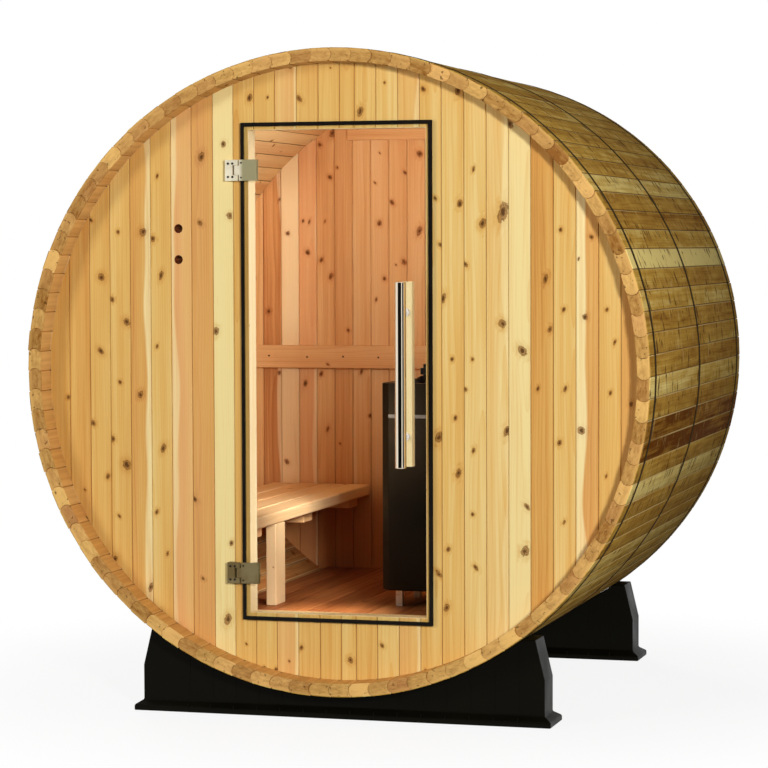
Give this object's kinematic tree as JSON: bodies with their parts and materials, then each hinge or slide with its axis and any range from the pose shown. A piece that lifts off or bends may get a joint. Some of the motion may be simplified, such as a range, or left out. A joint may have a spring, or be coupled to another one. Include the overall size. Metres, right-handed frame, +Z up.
{
  "type": "barrel sauna",
  "caption": "Stave barrel cabin lying on two moulded cradles, with steel bands, recessed plank end walls, a framed glass door that swings outwards, a bench and a heater inside.",
  "frame": {"origin": "on the ground, under the middle of the barrel", "axes": "+Z up, +Y along the barrel towards its back end, so the door faces -Y, +X to the right as seen from the front"},
  "size_m": [1.8322, 1.59, 1.9041],
  "materials": {
    "cedar_stave": "weathered oil",
    "band_steel": "dark satin",
    "cedar_front": "bare planed",
    "cedar_lining": "bare planed",
    "cedar_inside": "bare planed",
    "door_glass": "clear",
    "black_seal": "matt",
    "satin_hinge": "satin",
    "polished_bar": "polished",
    "handle_wood": "planed",
    "catch_black": "satin",
    "heater_black": "satin",
    "heater_metal": "satin",
    "cradle_black": "satin moulded"
  },
  "bodies": {
    "barrel": {"staves_01": "cedar_stave", "staves_02": "cedar_stave", "staves_03": "cedar_stave", "staves_04": "cedar_stave", "staves_05": "cedar_stave", "staves_06": "cedar_stave", "staves_07": "cedar_stave", "staves_08": "cedar_stave", "staves_09": "cedar_stave", "staves_10": "cedar_stave", "staves_11": "cedar_stave", "staves_12": "cedar_stave", "band_front": "band_steel", "band_middle": "band_steel", "band_rear": "band_steel", "front_wall_left_outer": "cedar_front", "front_wall_port_board": "cedar_front", "front_wall_left_inner": "cedar_front", "front_wall_right": "cedar_front", "front_wall_head": "cedar_front", "front_wall_sill": "cedar_front", "jamb_posts": "cedar_lining", "jamb_rails": "cedar_lining", "back_wall": "cedar_inside", "back_batten_middle": "cedar_inside", "back_batten_top": "cedar_inside", "floor_deck": "cedar_inside", "bench_slats": "cedar_inside", "bench_cleats": "cedar_inside", "bench_leg": "cedar_inside", "upper_hinge_plate": "satin_hinge", "lower_hinge_plate": "satin_hinge", "door_catch": "catch_black", "heater_body": "heater_black", "heater_trim": "heater_metal", "heater_feet": "heater_metal", "front_cradle": "cradle_black", "rear_cradle": "cradle_black"},
    "door": {"door_glass": "door_glass", "door_seal": "black_seal", "upper_hinge_clamp": "satin_hinge", "lower_hinge_clamp": "satin_hinge", "outer_handle": "polished_bar", "inner_handle": "handle_wood", "inner_handle_spacers": "polished_bar"}
  },
  "joints": [
    {"name": "door_hinge", "type": "hinge", "parent": "barrel", "child": "door", "pos_m": [-0.294, -0.735, 0.988], "axis": [0, 0, -1], "range_deg": [0, 100]}
  ]
}
